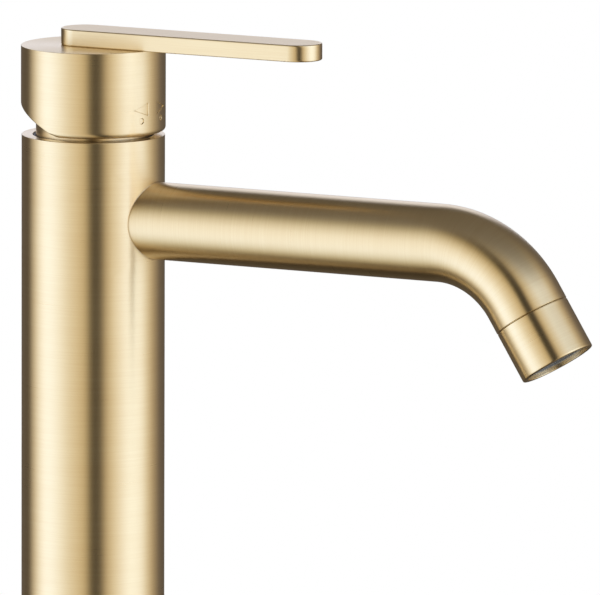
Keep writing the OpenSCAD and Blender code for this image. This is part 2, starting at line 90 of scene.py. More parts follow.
class Shade:
    """Adds nodes to one node tree, such as a material's or the world's."""

    def __init__(self, tree: bpy.types.NodeTree) -> None:
        """Empties the tree.

        Args:
            tree: The node tree to fill.
        """
        self.tree = tree
        tree.nodes.clear()

    def add(
        self,
        kind: str,
        settings: Optional[dict[str, Any]] = None,
        inputs: Optional[dict[Union[str, int], Any]] = None,
    ) -> bpy.types.Node:
        """Adds one node.

        Args:
            kind: The node's type, such as "ShaderNodeMath".
            settings: Its properties, set first; "stops" fills a colour ramp.
            inputs: Its sockets by name or number, each a constant, a Value or a socket.

        Returns:
            The new node.
        """
        node = self.tree.nodes.new(kind)
        for key, value in (settings or {}).items():
            if key == "stops":
                ramp = node.color_ramp
                while len(ramp.elements) < len(value):
                    ramp.elements.new(1.0)
                for element, (place, colour) in zip(ramp.elements, value):
                    element.position, element.color = place, colour
            else:
                setattr(node, key, value)
        for key, value in (inputs or {}).items():
            socket = node.inputs[key]
            source = value.socket if isinstance(value, Value) else value
            if isinstance(source, bpy.types.NodeSocket):
                self.tree.links.new(source, socket)
            else:
                socket.default_value = source
        return node

    def math(self, operation: str, *terms: Any) -> "Value":
        """Adds a Math node and returns its value."""
        node = self.add("ShaderNodeMath", {"operation": operation}, dict(enumerate(terms)))
        return Value(self, node.outputs[0])

    def noise(self, vector: Any, detail: float = 2.0, rough: float = 0.5) -> "Value":
        """Adds 3-D noise, about 0.5 on average.

        Args:
            vector: Where it is read, already scaled so that a feature is about 1 across.
            detail: How many finer layers it has.
            rough: How strong those are.

        Returns:
            The noise value.
        """
        node = self.add(
            "ShaderNodeTexNoise",
            {"noise_dimensions": "3D"},
            {"Vector": vector, "Scale": 1.0, "Detail": detail, "Roughness": rough},
        )
        return Value(self, node.outputs["Factor" if "Factor" in node.outputs else "Fac"])

    def scaled(self, vector: Any, scale: Sequence[float], shift: float = 0.0) -> Any:
        """Stretches and shifts a vector by a Mapping node and returns its output socket."""
        inputs = {"Vector": vector, "Scale": tuple(scale), "Location": (shift,) * 3}
        return self.add("ShaderNodeMapping", {}, inputs).outputs["Vector"]

    def blend(self, share: Any, low: Any, high: Any, kind: str = "MIX") -> bpy.types.NodeSocket:
        """Mixes two colours.

        Args:
            share: 0 gives low and 1 gives high, or high's full effect.
            low: A colour or a colour socket.
            high: A colour or a colour socket.
            kind: How high acts on low, such as "MIX" or "MULTIPLY".

        Returns:
            The mixed colour's socket.
        """
        settings = {"data_type": "RGBA", "blend_type": kind}
        inputs = {0: share, 6: rgba(low), 7: rgba(high)}
        return self.add("ShaderNodeMix", settings, inputs).outputs[2]


class Value:
    """A number in a shader. Python operators on it add the Math nodes."""

    def __init__(self, shade: Shade, socket: bpy.types.NodeSocket) -> None:
        """Wraps an output socket.

        Args:
            shade: The tree that gets the Math nodes.
            socket: The output socket that gives the number.
        """
        self.shade = shade
        self.socket = socket

    def __add__(self, other: Any) -> "Value":
        """Sum."""
        return self.shade.math("ADD", self, other)

    __radd__ = __add__

    def __sub__(self, other: Any) -> "Value":
        """Difference."""
        return self.shade.math("SUBTRACT", self, other)

    def __rsub__(self, other: Any) -> "Value":
        """Difference from a number."""
        return self.shade.math("SUBTRACT", other, self)

    def __mul__(self, other: Any) -> "Value":
        """Product."""
        return self.shade.math("MULTIPLY", self, other)

    __rmul__ = __mul__

    def __truediv__(self, other: Any) -> "Value":
        """Quotient."""
        return self.shade.math("DIVIDE", self, other)

    def __abs__(self) -> "Value":
        """Size without the sign."""
        return self.shade.math("ABSOLUTE", self)

    def rise(self, low: float, high: float) -> "Value":
        """Smooth step.

        Args:
            low: Where the step starts; it may be above high, for a falling step.
            high: Where the step ends.

        Returns:
            A value that goes from 0 at low to 1 at high.
        """
        node = self.shade.add(
            "ShaderNodeMapRange",
            {"interpolation_type": "SMOOTHSTEP"},
            {"Value": self, "From Min": low, "From Max": high},
        )
        return Value(self.shade, node.outputs[0])


def rgba(colour: Any) -> Any:
    """Adds the alpha to a plain colour, and leaves a socket as it is."""
    return (*colour, 1.0) if isinstance(colour, tuple) and len(colour) == 3 else colour


# ---------- finishes ----------


@dataclass(frozen=True)
class Finish:
    """One finish of the real object, named by the record's material slot."""

    slot: str  # material slot of the record
    base: Colour  # main colour, linear
    shade_to: Colour  # colour that the blotches lean to
    roughness: float  # mean roughness
    roughness_swing: float = 0.04  # how far the roughness varies either way
    bump: float = 0.00001  # height of the fine relief, in metres

    def make(self) -> bpy.types.Material:
        """Builds the material from its fine pattern, its blotches and its relief.

        Returns:
            The new material.
        """
        material = bpy.data.materials.new(self.slot)
        material.use_nodes = True
        shade = Shade(material.node_tree)
        fine, blotch, constants = self.pattern(shade)
        inputs = {"Height": fine, "Strength": 1.0, "Distance": self.bump}
        relief = shade.add("ShaderNodeBump", {}, inputs)
        uneven = 0.6 * (fine - 0.5) + 0.4 * (blotch - 0.5)
        inputs = {
            "Base Color": shade.blend(self.colour_share(fine, blotch), self.base, self.shade_to),
            "Roughness": self.roughness + self.roughness_swing * 2 * uneven,
            "Normal": relief.outputs["Normal"],
            **constants,
        }
        surface = shade.add("ShaderNodeBsdfPrincipled", {}, inputs)
        shade.add("ShaderNodeOutputMaterial", {}, {"Surface": surface.outputs[0]})
        return material

    def pattern(self, shade: Shade) -> tuple[Value, Value, dict[str, Any]]:
        """Gives the finish's own pattern.

        Args:
            shade: The material's tree.

        Returns:
            The fine pattern, the broad blotches and the constants of the surface shader.
        """
        place = shade.add("ShaderNodeTexCoord").outputs["Object"]
        fine = shade.noise(shade.scaled(place, (2500, 2500, 2500)), 3.0)
        blotch = shade.noise(shade.scaled(place, (60, 60, 60), 3.1), 2.0)
        return fine, blotch, {}

    def colour_share(self, fine: Value, blotch: Value) -> Value:
        """Share of the second colour."""
        return (0.35 * fine + 0.65 * blotch).rise(0.3, 0.75)


@dataclass(frozen=True)
class BrushedGold(Finish):
    """Gold coat over fine brushing, which widens highlights across the brush lines."""

    anisotropy: float = 0.75  # how much wider highlights are across the lines than along them
    line: float = 0.00034  # spacing of the brush lines
    run: float = 0.02  # length of a brush line

    def pattern(self, shade: Shade) -> tuple[Value, Value, dict[str, Any]]:
        """Gives fine lines along the brushing, from the piece's own brush attribute.

        Args:
            shade: The material's tree.

        Returns:
            The brush lines, the broad blotches and the constants of the surface shader.
        """
        place = shade.add("ShaderNodeAttribute", {"attribute_name": BRUSH}).outputs["Vector"]
        across, along = 1 / self.line, 1 / self.run
        fine = shade.noise(shade.scaled(place, (across, along, along)), 2.0, 0.6)
        coarse = shade.noise(shade.scaled(place, (across / 4, along / 2, along / 2), 5.7), 1.0)
        cloud = shade.noise(shade.scaled(place, (70, 30, 30), 1.3), 1.5)
        tangent = shade.add("ShaderNodeTangent", {"direction_type": "UV_MAP", "uv_map": SURFACE_UV})
        constants = {"Metallic": 1.0, "Anisotropic": self.anisotropy}
        constants["Tangent"] = tangent.outputs["Tangent"]
        return 0.8 * fine + 0.2 * coarse, cloud, constants

    def colour_share(self, fine: Value, blotch: Value) -> Value:
        """Share of the second colour: mostly the brush lines."""
        return (0.7 * fine + 0.3 * blotch).rise(0.36, 0.66)


@dataclass(frozen=True)
class TurnedMetal(Finish):
    """Machined metal with tool lines about the object's upright axis."""

    def pattern(self, shade: Shade) -> tuple[Value, Value, dict[str, Any]]:
        """Gives tool lines stacked along the height, with grain.

        Args:
            shade: The material's tree.

        Returns:
            The tool lines, the broad blotches and the constants of the surface shader.
        """
        place = shade.add("ShaderNodeTexCoord").outputs["Object"]
        lines = shade.noise(shade.scaled(place, (60, 60, 2600)), 2.0, 0.6)
        grain = shade.noise(shade.scaled(place, (1800, 1800, 1800), 2.0), 2.0)
        blotch = shade.noise(shade.scaled(place, (90, 90, 90), 4.0), 3.0)
        return 0.6 * lines + 0.4 * grain, blotch, {"Metallic": 1.0}


@dataclass(frozen=True)
class Moulded(Finish):
    """Moulded plastic, rubber or ceramic with a fine grain."""

    grain: float = 0.0004  # size of the grain
    specular: float = 0.5  # specular level of the surface

    def pattern(self, shade: Shade) -> tuple[Value, Value, dict[str, Any]]:
        """Gives an even grain with faint flow marks.

        Args:
            shade: The material's tree.

        Returns:
            The grain, the flow marks and the constants of the surface shader.
        """
        place = shade.add("ShaderNodeTexCoord").outputs["Object"]
        fine = shade.noise(shade.scaled(place, (1 / self.grain,) * 3), 3.0)
        flow = shade.noise(shade.scaled(place, (120, 45, 80), 7.0), 2.0)
        return fine, flow, {"Specular IOR Level": self.specular}


FINISHES: tuple[Finish, ...] = (
    BrushedGold("brushed_gold", (0.94, 0.77, 0.505), (0.98, 0.82, 0.555), 0.28, 0.02, 0.00000035),
    TurnedMetal("raw_brass", (0.76, 0.55, 0.27), (0.62, 0.42, 0.19), 0.32, 0.07, 0.000004),
    TurnedMetal("stainless_steel", (0.66, 0.66, 0.66), (0.52, 0.52, 0.53), 0.30, 0.07, 0.000003),
    Moulded("black_rubber", (0.018, 0.018, 0.019), (0.035, 0.034, 0.033), 0.72, 0.08, 0.00003),
    Moulded("black_plastic", (0.022, 0.022, 0.024), (0.04, 0.04, 0.042), 0.45, 0.06, 0.00001),
    Moulded("grey_plastic", (0.30, 0.31, 0.32), (0.24, 0.25, 0.26), 0.42, 0.06, 0.00001),
    Moulded("white_plastic", (0.78, 0.78, 0.75), (0.70, 0.69, 0.65), 0.42, 0.06, 0.00001),
    Moulded("red_plastic", (0.42, 0.02, 0.015), (0.33, 0.018, 0.014), 0.42, 0.06, 0.00001),
    Moulded("ceramic", (0.86, 0.83, 0.76), (0.80, 0.76, 0.68), 0.12, 0.03, 0.000002, 0.0002, 0.6),
)


# ---------- surfaces ----------


@dataclass
class Patch:
    """A grid of surface points."""

    points: Array  # places, rows by columns by 3
    brush: Array  # brushing coordinates of the same points, across the lines first
    uv: Array  # surface coordinates, U across the brushing

    def moved(self, origin: Array, axes: Array) -> "Patch":
        """Puts the patch in another frame.

        Args:
            origin: Place of the frame's origin.
            axes: Its X, Y and Z directions, as rows.

        Returns:
            The patch in that frame.
        """
        return Patch(self.points @ axes + origin, self.brush, self.uv)


class Skin:
    """Gathers the patches of one piece, joins them and makes the mesh object."""

    def __init__(self, name: str) -> None:
        """Starts an empty skin.

        Args:
            name: Name of the piece.
        """
        self.name = name
        self.patches: list[Patch] = []
        self.quads: list[Array] = []
        self.count = 0

    def add(self, patch: Patch, skip: Optional[tuple[slice, slice]] = None) -> "Skin":
        """Adds a patch.

        Args:
            patch: The grid of points.
            skip: Rows and columns of cells to leave open.

        Returns:
            The skin, so that calls can follow each other.
        """
        rows, columns = patch.points.shape[:2]
        index = self.count + np.arange(rows * columns).reshape(rows, columns)
        corners = (index[:-1, :-1], index[1:, :-1], index[1:, 1:], index[:-1, 1:])
        cells = np.stack(corners, -1)
        keep = np.ones(cells.shape[:2], bool)
        if skip is not None:
            keep[skip] = False
        self.quads.append(cells[keep])
        self.patches.append(patch)
        self.count += rows * columns
        return self

    def build(self) -> bpy.types.Object:
        """Makes the object: coincident points are joined and all faces are turned outwards.

        Returns:
            The new object, linked to the scene.
        """
        points = np.concatenate([p.points.reshape(-1, 3) for p in self.patches])
        corners = np.concatenate(self.quads).reshape(-1)
        mesh = bpy.data.meshes.new(self.name)
        mesh.vertices.add(len(points))
        mesh.vertices.foreach_set("co", points.astype(np.float32).ravel())
        mesh.loops.add(len(corners))
        mesh.loops.foreach_set("vertex_index", corners.astype(np.int32))
        mesh.polygons.add(len(corners) // 4)
        mesh.polygons.foreach_set("loop_start", np.arange(0, len(corners), 4, dtype=np.int32))
        mesh.update(calc_edges=True)
        uv = np.concatenate([p.uv.reshape(-1, 2) for p in self.patches])[corners]
        mesh.uv_layers.new(name=SURFACE_UV).data.foreach_set("uv", uv.astype(np.float32).ravel())
        brush = np.concatenate([p.brush.reshape(-1, 3) for p in self.patches])[corners]
        layer = mesh.attributes.new(BRUSH, "FLOAT_VECTOR", "CORNER")
        layer.data.foreach_set("vector", brush.astype(np.float32).ravel())
        shape = bmesh.new()
        shape.from_mesh(mesh)
        bmesh.ops.remove_doubles(shape, verts=shape.verts, dist=WELD)
        bmesh.ops.recalc_face_normals(shape, faces=shape.faces)
        gaps = sum(not edge.is_manifold for edge in shape.edges)
        shape.to_mesh(mesh)
        shape.free()
        mesh.shade_smooth()
        mesh.set_sharp_from_angle(angle=SHARP)
        LOG.info("%s: %d faces, %d open edges", self.name, len(mesh.polygons), gaps)
        piece = bpy.data.objects.new(self.name, mesh)
        bpy.context.scene.collection.objects.link(piece)
        return piece


def ladder(start: float, *legs: tuple[float, int]) -> Array:
    """Even steps from stop to stop.

    Args:
        start: First value.
        legs: For each stop, its value and the number of steps that lead to it.

    Returns:
        All values in order.
    """
    parts = [np.array([start])]
    for end, steps in legs:
        parts.append(np.linspace(parts[-1][-1], end, steps + 1)[1:])
    return np.concatenate(parts)


def smooth(share: Array) -> Array:
    """Smooth step of values clipped to 0..1: 3 t^2 - 2 t^3."""
    t = np.clip(share, 0, 1)
    return t * t * (3 - 2 * t)


def lengths(path: Array) -> Array:
    """Length along a path of points, from its first one."""
    steps = np.linalg.norm(np.diff(path, axis=0), axis=1)
    return np.concatenate([[0.0], np.cumsum(steps)])


def rounded(corners: Sequence[Corner], closed: bool = True, steps: int = 5) -> Array:
    """Outline whose corners are arcs.

    An arc of radius r touches the two sides of a corner at r / tan(a / 2) from it, where a is the
    angle between them. With touch points at s and e from the arc's centre and the angle w between
    them, its points are (s sin((1 - t) w) + e sin(t w)) / sin w for t from 0 to 1. The touch points
    keep clear of the middle of each side, and a guard point beyond each keeps the long faces flat.

    Args:
        corners: For each corner, its two coordinates and its radius.
        closed: Whether the outline returns to its start.
        steps: Steps round each arc.

    Returns:
        The outline's points, the first repeated at the end if it is closed.
    """
    spots = np.array([c[:2] for c in corners], float)
    t = np.linspace(0, 1, steps + 1)[:, None]
    parts = []
    for i, (_, _, radius) in enumerate(corners):
        here = spots[i]
        if radius <= 0 or (not closed and i in (0, len(corners) - 1)):
            parts.append(here[None])
            continue
        back, ahead = spots[i - 1] - here, spots[(i + 1) % len(spots)] - here
        back_l, ahead_l = np.linalg.norm(back), np.linalg.norm(ahead)
        back, ahead = back / back_l, ahead / ahead_l
        half = math.acos(float(np.clip(back @ ahead, -1, 1))) / 2
        touch = min(radius / math.tan(half), 0.45 * back_l, 0.45 * ahead_l)
        centre = here + (back + ahead) / np.linalg.norm(back + ahead) * touch / math.cos(half)
        start, end = here + back * touch - centre, here + ahead * touch - centre
        span = math.pi - 2 * half
        turn = (np.sin((1 - t) * span) * start + np.sin(t * span) * end) / math.sin(span)
        guard = min(touch * 0.6, 0.2 * back_l, 0.2 * ahead_l)
        parts.append((here + back * (touch + guard))[None])
        parts.append(centre + turn)
        parts.append((here + ahead * (touch + guard))[None])
    path = np.concatenate(parts)
    return np.concatenate([path, path[:1]]) if closed else path


def ring_points(radius: Any, turn: Array, height: Array) -> Array:
    """Points (r cos a, r sin a, z) of arrays of radii, angles and heights."""
    return np.stack([radius * np.cos(turn), radius * np.sin(turn), height], -1)


def revolve(profile: Array, angles: Array) -> Patch:
    """Turns a profile of radii and heights about the Z axis.

    Point (i, j) is (r_j cos a_i, r_j sin a_i, z_j). The brush lines run round the axis, so the
    coordinate across them is the length along the profile.

    Args:
        profile: Radii and heights.
        angles: Angles of the copies.

    Returns:
        The surface.
    """
    radius, height = profile[None, :, 0], profile[None, :, 1]
    turn = angles[:, None] + 0 * radius
    across = lengths(profile)[None] + 0 * turn
    rim = float(radius.max())
    brush = ring_points(rim, turn, across + profile[0, 1] * 3)[..., [2, 0, 1]]
    points = ring_points(radius, turn, height + 0 * turn)
    return Patch(points, brush, np.stack([across, turn * rim], -1))


def upright(points: Array, rim: float, turn: Optional[Array] = None) -> Patch:
    """Gives upright wall points their brushing: lines run round the Z axis, one above the other.

    Args:
        points: Rows by columns by 3.
        rim: Radius that the lines are measured on.
        turn: Angle of each point; its Y stands in for it round a port.

    Returns:
        The patch.
    """
    radius = np.maximum(np.hypot(points[..., 0], points[..., 1]), 1e-9)
    height = points[..., 2]
    around = points[..., :2] / radius[..., None] * rim
    along = points[..., 1] if turn is None else turn * rim
    brush = np.concatenate([height[..., None], around], -1)
    return Patch(points, brush, np.stack([height, along], -1))


@dataclass
class Port:
    """A round hole through an upright tube, along the X axis."""

    height: float  # height of its axis
    radius: float  # its radius
    side: int  # 1 if it opens towards +X and -1 towards -X

    def collar(self, wall: Array, rows: slice, columns: slice, tube: float) -> Array:
        """Fills a block of a tube's wall round the port.

        Seen along X, each point runs straight from the port's rim to the border of the block;
        x = side * sqrt(R^2 - y^2) then puts it back on the tube.

        Args:
            wall: Points of the wall's grid.
            rows: Rows of cells in the block.
            columns: Columns of cells in the block.
            tube: Radius of the tube, R.

        Returns:
            The collar's points; the first row is the port's rim.
        """
        block = wall[rows.start : rows.stop + 1, columns.start : columns.stop + 1]
        sides = (block[0, :-1], block[:-1, -1], block[-1, :0:-1], block[:0:-1, 0], block[:1, 0])
        border = np.concatenate(sides)[:, 1:]
        turn = np.arctan2(border[:, 1] - self.height, border[:, 0])
        rim = np.stack([np.cos(turn), np.sin(turn)], -1) * self.radius + (0, self.height)
        share = np.array([0, 0.03, 0.12, 0.3, 0.52, 0.76, 1.0])[:, None, None]
        flat = rim * (1 - share) + border * share
        depth = self.side * np.sqrt(np.maximum(tube**2 - flat[..., 0] ** 2, 0))
        return np.concatenate([depth[..., None], flat], -1)


ROUND = np.linspace(-math.pi, math.pi, 145)  # angles of a turned piece's copies
SECTION = np.linspace(-math.pi / 2, 1.5 * math.pi, 129)  # angles round the spout, from below
SLOTS: dict[str, str] = {s["node"]: s["material_slot"] for s in frame["record"]["subparts"]}


@dataclass
class Part:
    """Base of the sub-assemblies: makes pieces stand for CAD nodes and gives nodes a finish."""

    finishes: dict[str, bpy.types.Material]  # materials by slot
    body: str = "body"  # CAD body that the pieces ride on

    def stand_for(self, skin: Skin, node: str) -> None:
        """Builds a skin that stands for one CAD node and takes its slot's finish.

        Args:
            skin: The gathered patches.
            node: The CAD node.
        """
        piece = skin.build()
        piece.data.materials.append(self.finishes[SLOTS[node]])
        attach(piece, self.body)
        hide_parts(node)

    def turned(self, name: str, node: str, profile: Array) -> None:
        """Revolves a closed profile about the column's axis to stand for a CAD node."""
        self.stand_for(Skin(name).add(revolve(profile, ROUND)), node)

    def flat_ring(self, name: str, node: str, inner: float, edge: float) -> None:
        """Makes a ring with rounded edges, as wide and as high as a CAD node.

        Args:
            name: Name of the piece.
            node: The CAD node.
            inner: Inner radius.
            edge: Radius of the edges.
        """
        low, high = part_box(node)
        across = (inner, outer_radius(node))
        lower = [(radius, low.z, edge) for radius in across]
        upper = [(radius, high.z, edge) for radius in reversed(across)]
        self.turned(name, node, rounded(lower + upper))

    def dress(self, *nodes: str) -> None:
        """Gives CAD nodes that stay in view the finish of their slot.

        Args:
            nodes: The CAD nodes.
        """
        for node in nodes:
            materials = frame["nodes"][node].data.materials
            materials.clear()
            materials.append(self.finishes[SLOTS[node]])
            LOG.info("%s: CAD mesh in %s", node, SLOTS[node])


def outer_radius(node: str) -> float:
    """Radius of a round upright CAD node, from the width of its box."""
    low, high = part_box(node)
    return (high.y - low.y) / 2


@dataclass
class Foot(Part):
    """Base ring, gasket, threaded shank, washers and lock nut."""

    edge: float = 0.0008  # radius of the base ring's upper edge
    clearance: float = 0.0003  # gap between the base ring and the shank
    # Inner radius, outer radius and depth of the gasket's groove.
    groove: tuple[float, float, float] = (0.0194, 0.0232, 0.0018)
    crisp: float = 0.0001  # radius of an edge that is only broken
    pitch: float = 0.0015  # pitch of the shank's thread
    thread: float = 0.0007  # depth of the thread
    thread_top: float = -0.004  # height where the thread has faded out
    run_out: float = 0.002  # height over which the thread fades at its ends
    bore: float = 0.013  # radius of the shank's bore
    chamfer: float = 0.001  # width of the chamfer at the shank's lower end
    nut_bevel: float = 0.0012  # height and depth of the nut's bevels

    def build(self) -> None:
        """Builds all pieces of the foot."""
        shank = outer_radius("mounting_shank")
        self.base_ring(shank + self.clearance)
        gasket = self.groove[0] + self.crisp
        self.flat_ring("base_gasket_moulded", "base_gasket", gasket, 0.0003)
        self.shank(shank)
        self.flat_ring("rubber_washer_edged", "rubber_washer", shank + 0.0003, 0.0005)
        self.flat_ring("steel_washer_edged", "steel_washer", shank + 0.0004, 0.0002)
        self.nut(shank + FIT)
        self.dress("foot_bush")

    def base_ring(self, bore: float) -> None:
        """Turns the ring with a rounded upper edge and a gasket groove underneath.

        Args:
            bore: Radius of its bore.
        """
        low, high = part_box("base_ring")
        radius = outer_radius("base_ring")
        inner, outer, depth = self.groove
        roof = low.z + depth
        under = [(bore, low.z, self.crisp), (inner, low.z, self.crisp), (inner, roof, 0)]
        under += [(outer, roof, 0), (outer, low.z, self.crisp), (radius, low.z, 0.0003)]
        over = [(radius, high.z, self.edge), (bore, high.z, self.crisp)]
        self.turned("base_ring_turned", "base_ring", rounded(under + over))

    def shank(self, radius: float) -> None:
        """Makes the hollow stud with a true helical thread.

        The outer radius is R - d * ridge(z / pitch - a / turn), where ridge is a trapezoid of its
        fractional part, and fades to the plain radius at both ends of the thread.

        Args:
            radius: Its outer radius, R.
        """
        low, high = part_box("mounting_shank")
        angles = np.linspace(-math.pi, math.pi, 97)
        start = low.z + self.chamfer
        height = ladder(start, (self.thread_top + 0.001, 8 * 38), (high.z, 4))
        turn, z = np.meshgrid(angles, height, indexing="ij")
        phase = (z / self.pitch - turn / TURN) % 1.0
        ridge = np.clip(2.2 - np.abs(phase - 0.5) * 6.4, 0, 1)
        fade = smooth((z - start) / self.run_out) * smooth((self.thread_top - z) / self.run_out)
        wall = ring_points(radius - self.thread * ridge * fade, turn, z)
        ends = [(radius, high.z, 0), (self.bore, high.z, 0.0003), (self.bore, low.z, 0.0003)]
        ends += [(radius - self.chamfer, low.z, 0.0002), (radius, start, 0)]
        skin = Skin("mounting_shank_threaded").add(upright(wall, radius, turn))
        skin.add(revolve(rounded(ends, closed=False), angles))
        self.stand_for(skin, "mounting_shank")

    def nut(self, bore: float) -> None:
        """Makes the hexagon nut: its radius is the smaller of the hexagon's and two end cones'.

        Args:
            bore: Radius of its bore.
        """
        low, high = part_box("lock_nut")
        corner, tall = (high.x - low.x) / 2, high.z - low.z
        flat = corner * math.cos(TURN / 12)
        angles = np.linspace(-math.pi, math.pi, 6 * 20 + 1)
        depth = ladder(0.0, (self.nut_bevel, 6), (tall - self.nut_bevel, 6), (tall, 6))
        turn, z = np.meshgrid(angles, depth, indexing="ij")
        hexagon = flat / np.cos((turn % (TURN / 6)) - TURN / 12)
        cone = corner - self.nut_bevel + np.minimum(z, tall - z)
        wall = ring_points(np.minimum(hexagon, cone), turn, z + low.z)
        ring = revolve(np.array([(bore, high.z), (bore, low.z)]), angles)
        skin = Skin("lock_nut_hexagon").add(upright(wall, corner, turn)).add(ring)
        for end, hole in ((0, 1), (-1, 0)):
            face = np.stack([wall[:, end], ring.points[:, hole]], 1)
            skin.add(upright(face, corner, turn[:, :2]))
        self.stand_for(skin, "lock_nut")


@dataclass
class Column(Part):
    """Column tube with its port for the spout, and the trim seen at its rim."""

    rim_edge: float = 0.0004  # radius of the rim's outer edge
    bore: float = 0.020  # radius of the bore
    lip: float = 0.019  # radius of the narrower bore at the rim
    lip_height: float = 0.0018  # height of that lip
    block: float = math.radians(46)  # half angle of the wall that is rebuilt round the port
    half_block: float = 0.0162  # half its height
    sleeve_wall: float = 0.0012  # wall of the cover over the retaining nut
    sleeve_bore: float = 0.0144  # radius of the hole in that cover

    def build(self) -> None:
        """Builds the column and the rings at its rim."""
        self.tube()
        self.trim_sleeve()
        glide = outer_radius("trim_sleeve") + FIT
        self.flat_ring("glide_ring_moulded", "glide_ring", glide, 0.0003)

    def tube(self) -> None:
        """Makes the wall and the bore as grids of angle and height, with a collar at the port."""
        low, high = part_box("column_tube")
        radius = outer_radius("column_tube")
        spout = outer_radius("spout_pipe")
        port = Port(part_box("spout_pipe")[1].z - spout, spout + 0.0001, 1)
        plain, front, below, beside = 54, 40, 5, 36  # cells round and up the wall
        angles = ladder(-math.pi, (-self.block, plain), (self.block, front), (math.pi, plain))
        top, ledge = high.z - self.rim_edge, high.z - self.lip_height
        bottom, ceiling = port.height - self.half_block, port.height + self.half_block
        height = ladder(low.z, (bottom, below), (ceiling, beside), (top, 3))
        rows, columns = slice(plain, plain + front), slice(below, below + beside)
        turn, z = np.meshgrid(angles, height, indexing="ij")
        skin = Skin("column_tube_brushed")
        rims = []
        for tube, level in ((radius, z), (self.bore, np.minimum(z, ledge))):
            wall = ring_points(tube, turn, level)
            collar = port.collar(wall, rows, columns, tube)
            skin.add(upright(wall, radius, turn), (rows, columns)).add(upright(collar, radius))
            rims.append(collar[0])
        skin.add(upright(np.stack(rims), radius))
        rim = [(radius, top, 0), (radius, high.z, self.rim_edge), (self.lip, high.z, 0.0002)]
        rim += [(self.lip, ledge, 0.0001), (self.bore, ledge, 0)]
        foot = np.array([(radius, low.z), (self.bore, low.z)])
        skin.add(revolve(rounded(rim, closed=False), angles)).add(revolve(foot, angles))
        self.stand_for(skin, "column_tube")

    def trim_sleeve(self) -> None:
        """Turns the cover over the retaining nut, bright in the gap under the hub."""
        low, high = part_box("trim_sleeve")
        radius, bore = outer_radius("trim_sleeve"), self.sleeve_bore
        inside, ceiling = radius - self.sleeve_wall, high.z - self.sleeve_wall
        outer = [(inside, low.z, 0), (radius, low.z, 0.0001), (radius, high.z, 0.0005)]
        inner = [(bore, high.z, 0.0002), (bore, ceiling, 0), (inside, ceiling, 0)]
        self.turned("trim_sleeve_turned", "trim_sleeve", rounded(outer + inner))


